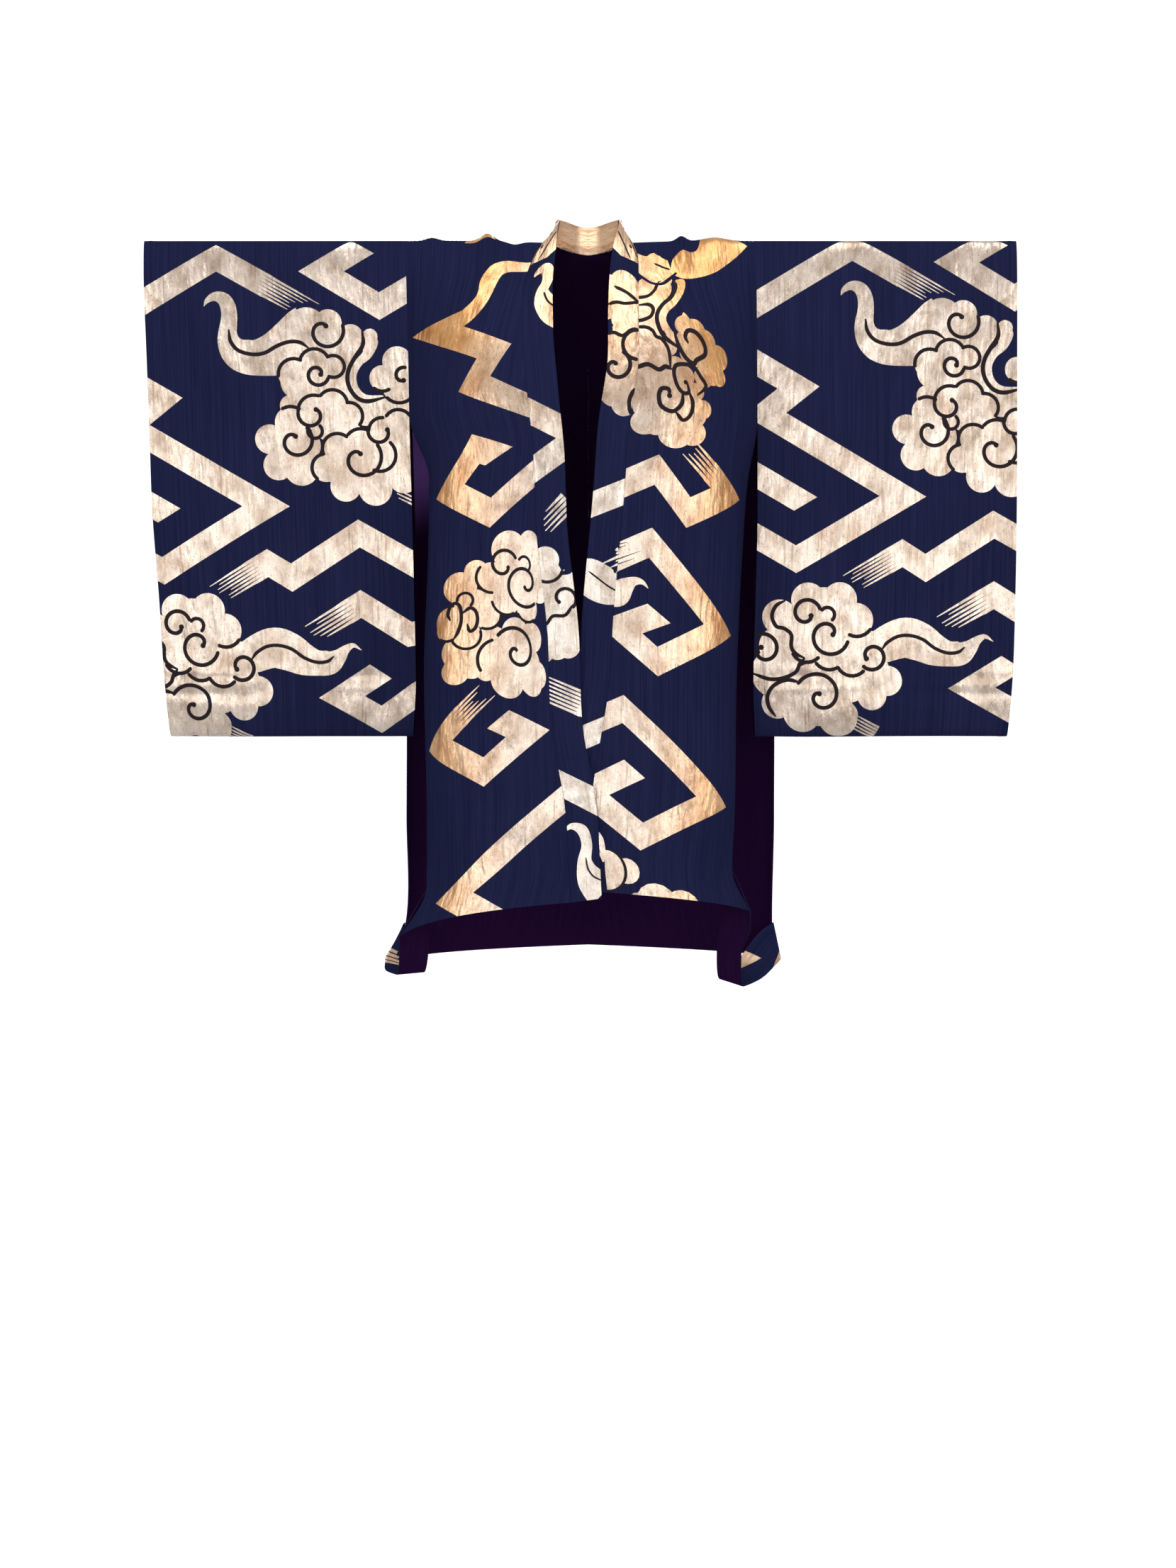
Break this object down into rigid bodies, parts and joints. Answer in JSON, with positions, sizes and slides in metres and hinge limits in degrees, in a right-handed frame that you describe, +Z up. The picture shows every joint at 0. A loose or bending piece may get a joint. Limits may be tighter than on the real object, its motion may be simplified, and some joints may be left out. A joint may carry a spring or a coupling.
{
  "type": "haori jacket",
  "caption": "Wide-sleeved lined haori jacket in its hollow worn form, open at front and sides, with a full-length neckband and slung straps joining the hem corners.",
  "frame": {"origin": "middle of the shoulder line, where the wearer's shoulders carry the jacket", "axes": "+X from the viewer's left cuff to the viewer's right cuff, -Y out of the front, +Z up"},
  "size_m": [1.2659, 0.3242, 1.1205],
  "materials": {
    "brocade": "navy silk twill with flat gold-foil pattern wefts",
    "neckband": "the same navy and gold brocade, folded double",
    "purple_lining": "plain dark purple silk"
  },
  "bodies": {
    "root": {"body_left": "brocade", "body_right": "brocade", "sleeve_left": "brocade", "sleeve_right": "brocade", "neckband_left": "neckband", "neckband_right": "neckband", "hem_strip_left": "brocade", "hem_strip_right": "brocade", "lining_left": "purple_lining", "lining_right": "purple_lining", "strip_lining_left": "purple_lining", "strip_lining_right": "purple_lining"}
  },
  "joints": []
}
